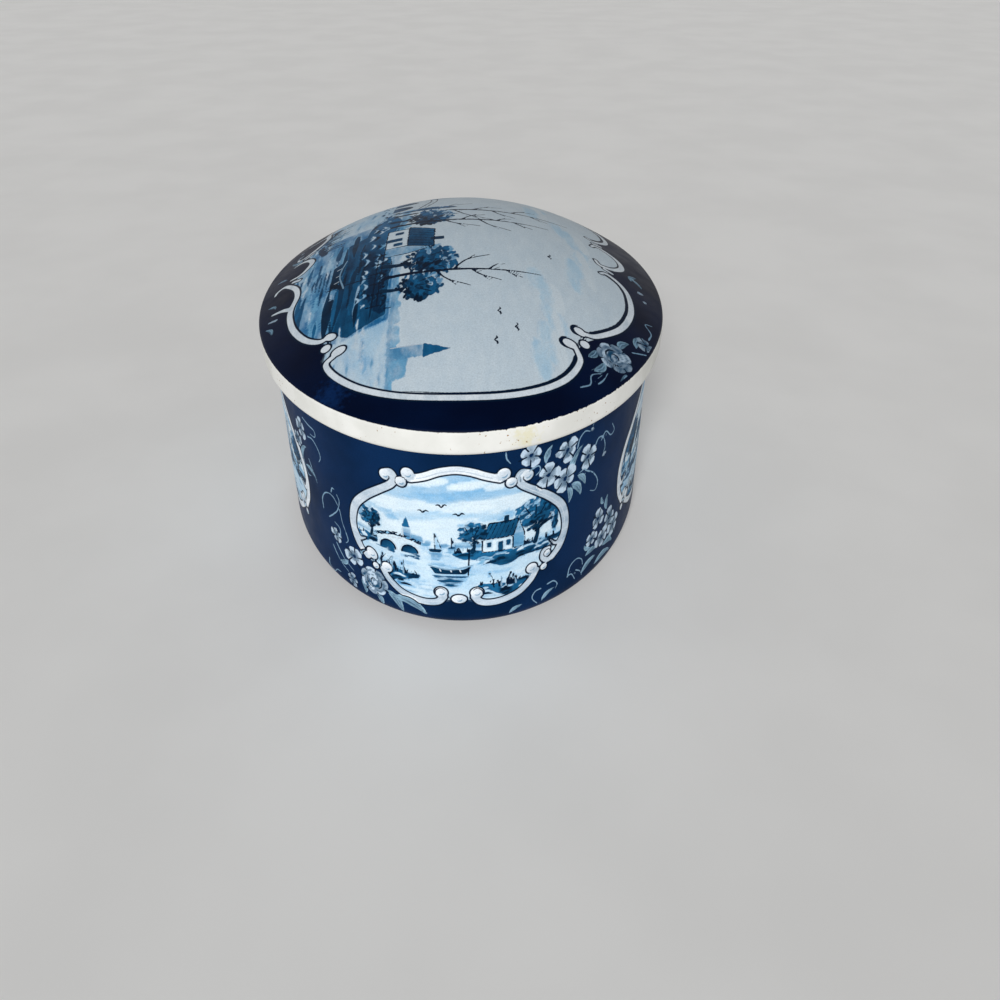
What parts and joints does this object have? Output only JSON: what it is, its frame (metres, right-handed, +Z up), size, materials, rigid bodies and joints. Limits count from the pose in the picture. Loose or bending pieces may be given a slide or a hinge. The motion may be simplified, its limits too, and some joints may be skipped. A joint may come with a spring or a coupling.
{
  "type": "oval tin",
  "caption": "Oval metal tin with a domed slip lid, curled rims and a recessed clinched base, for keeping sweets, tea or small things.",
  "frame": {"origin": "centre of the foot, on the surface the tin stands on", "axes": "+Z up, +Y along the oval's long axis towards the side seam, the end seen in the picture faces -Y"},
  "size_m": [0.113, 0.16, 0.08],
  "materials": {
    "lid_print": "lithographed tinplate, glossy, with a white skirt",
    "body_print": "lithographed tinplate, glossy",
    "bare_tinplate": "bare tinplate, satin"
  },
  "bodies": {
    "tin": {"body_wall": "body_print", "base_plate": "bare_tinplate"},
    "lid": {"lid": "lid_print"}
  },
  "joints": [
    {"name": "lid_lift", "type": "slide", "parent": "tin", "child": "lid", "axis": [0, 0, 1], "range_m": [0, 0.09]}
  ]
}
